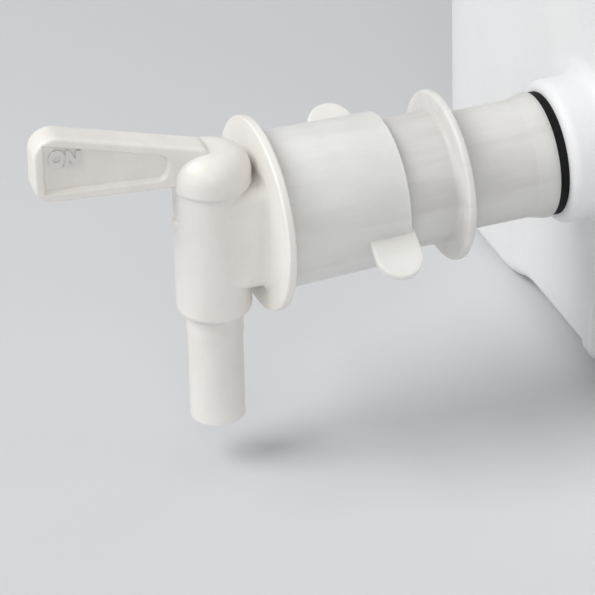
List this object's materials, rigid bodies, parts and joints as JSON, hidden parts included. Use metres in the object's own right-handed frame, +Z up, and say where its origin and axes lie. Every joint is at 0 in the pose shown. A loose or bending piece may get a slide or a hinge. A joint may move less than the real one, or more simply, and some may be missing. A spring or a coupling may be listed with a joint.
{
  "type": "carboy with spigot",
  "caption": "Rectangular plastic carboy with a ribbed screw cap, two side handles and a quick-disconnect spigot with a lever tap",
  "frame": {"origin": "centre of the carboy's footprint, on the surface it stands on", "axes": "+Z up; the spigot points along -Y; the side handles lie to +X and -X"},
  "size_m": [0.25, 0.4134, 0.372],
  "materials": {
    "carboy": "milky white blow-moulded plastic, satin",
    "cap": "white moulded plastic, satin",
    "liner": "soft white foam liner",
    "gasket": "black rubber",
    "shank": "milky translucent plastic, satin",
    "tap": "warm white plastic, half gloss"
  },
  "bodies": {
    "carboy": {"carboy_body": "carboy", "boss_gasket": "gasket", "spigot_shank": "shank", "tap_body": "tap", "tail_oring": "gasket", "sleeve_ring": "tap"},
    "sleeve": {"wing_sleeve": "shank"},
    "valve": {"valve_plug": "tap", "plug_oring_upper": "gasket", "plug_oring_lower": "gasket", "lever_handle": "tap"},
    "liner": {"cap_liner": "liner"},
    "cap": {"filling_cap": "cap"}
  },
  "joints": [
    {"name": "lever_turn", "type": "hinge", "parent": "carboy", "child": "valve", "pos_m": [0, -0.234, 0.0665], "axis": [0, 0, 1], "range_deg": [-85, 5]},
    {"name": "sleeve_twist", "type": "hinge", "parent": "carboy", "child": "sleeve", "pos_m": [0, -0.205, 0.0665], "axis": [0, -1, 0], "range_deg": [0, 70]},
    {"name": "cap_lift", "type": "slide", "parent": "carboy", "child": "liner", "axis": [0, 0, 1], "range_m": [0, 0.0101]},
    {"name": "cap_turn", "type": "hinge", "parent": "liner", "child": "cap", "pos_m": [0, 0, 0.364], "axis": [0, 0, 1], "range_deg": [0, 720]}
  ],
  "couplings": [
    {"joint": "cap_lift", "follows": "cap_turn", "m_per_rad": 0.00079577}
  ]
}
